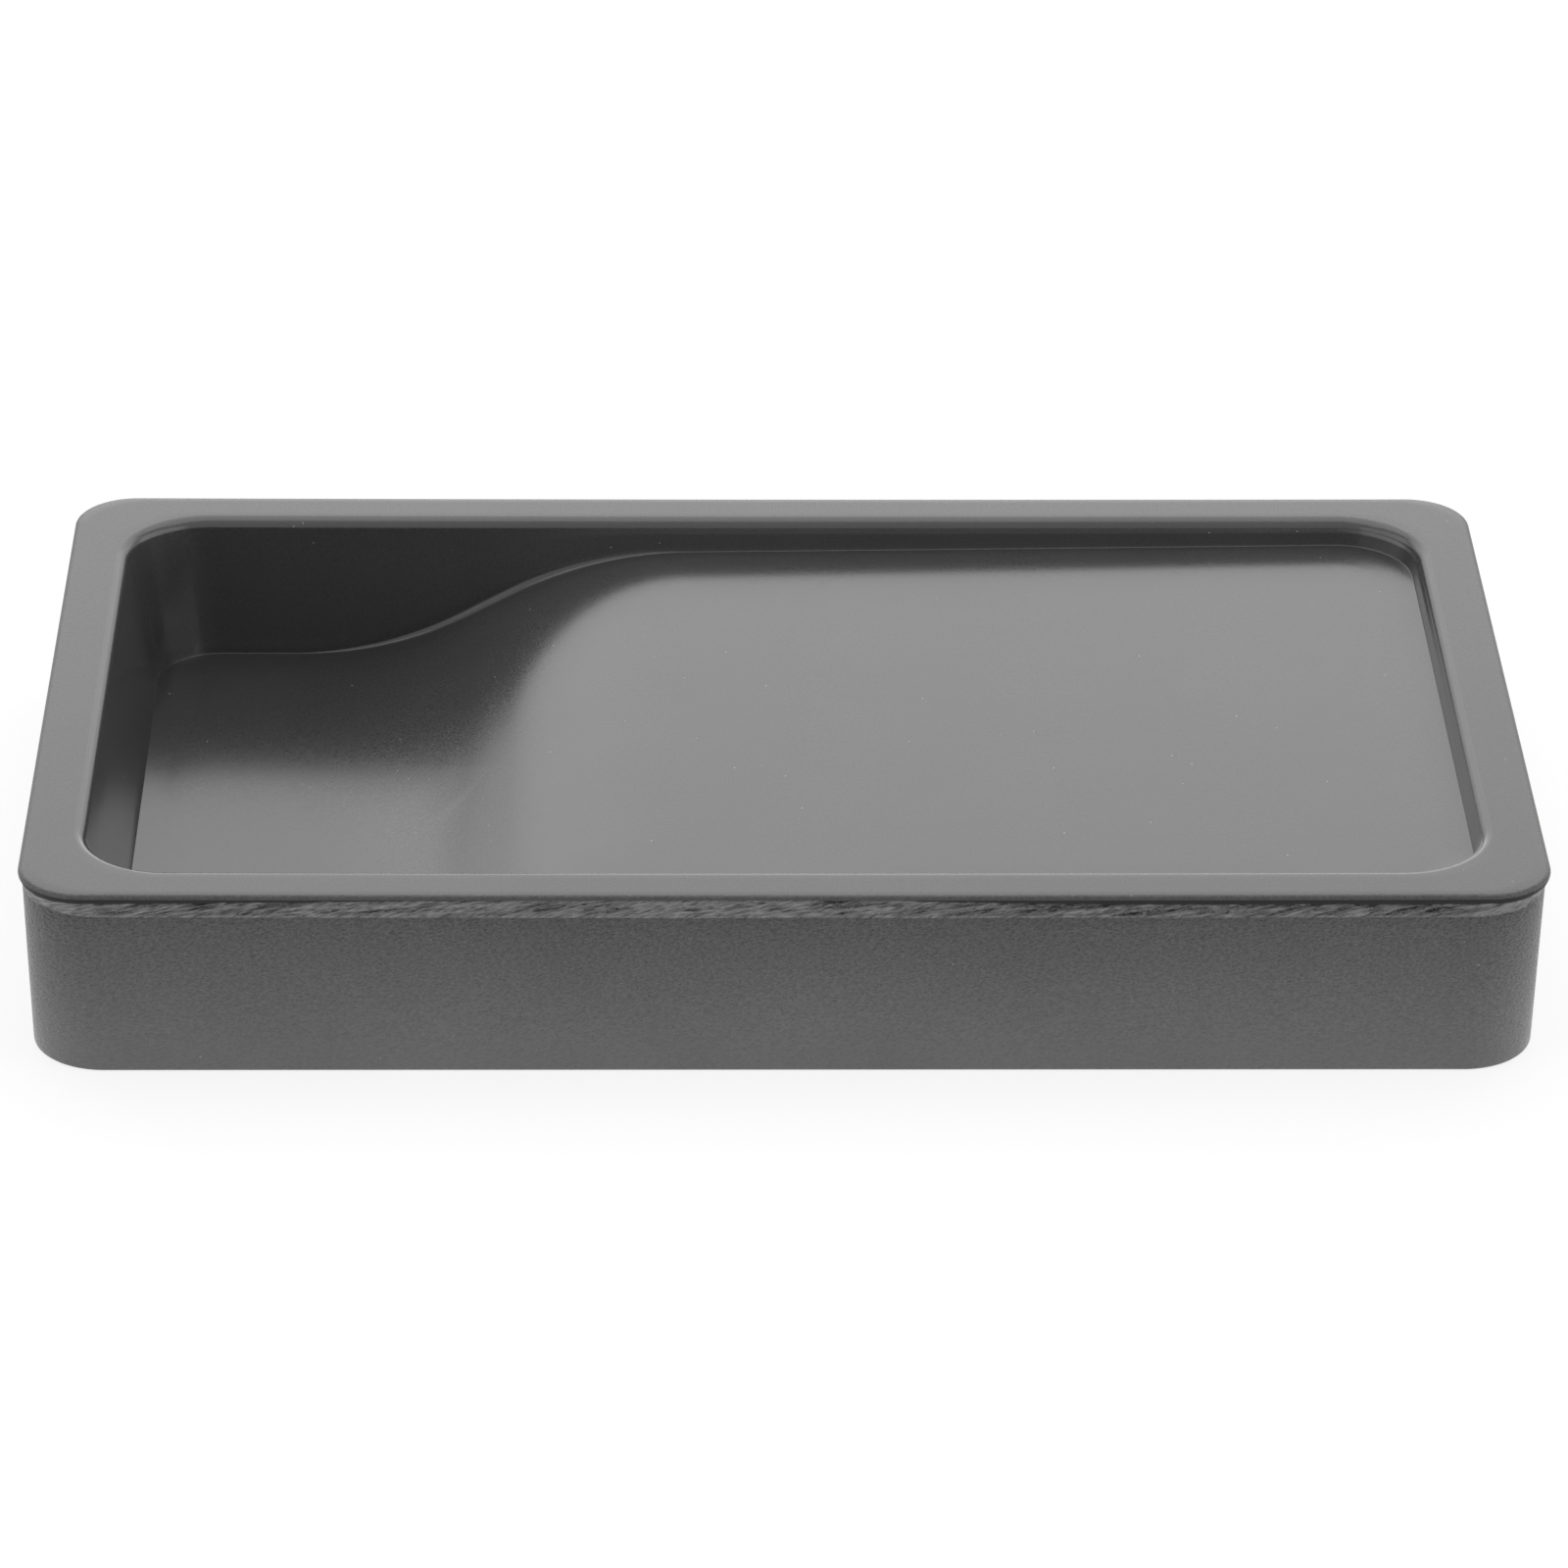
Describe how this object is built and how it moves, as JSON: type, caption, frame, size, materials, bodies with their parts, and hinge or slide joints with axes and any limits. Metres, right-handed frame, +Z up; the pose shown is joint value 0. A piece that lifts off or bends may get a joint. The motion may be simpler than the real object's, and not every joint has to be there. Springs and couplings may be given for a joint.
{
  "type": "ink stone",
  "caption": "Rectangular ink stone: a low slab with a rim round a shallow grinding tray, which eases down a smooth slope into a deep ink pool.",
  "frame": {"origin": "middle of the flat underside, on which the stone rests", "axes": "+X along the length from the ink pool to the grinding tray, +Y to the back, +Z up out of the hollow"},
  "size_m": [0.15, 0.09, 0.02],
  "materials": {
    "grey_stone": "fine-grained dark grey stone, honed to a satin sheen on the rim and in the hollow and left grainy and duller on the outer walls"
  },
  "bodies": {
    "root": {"ink_stone": "grey_stone"}
  },
  "joints": []
}
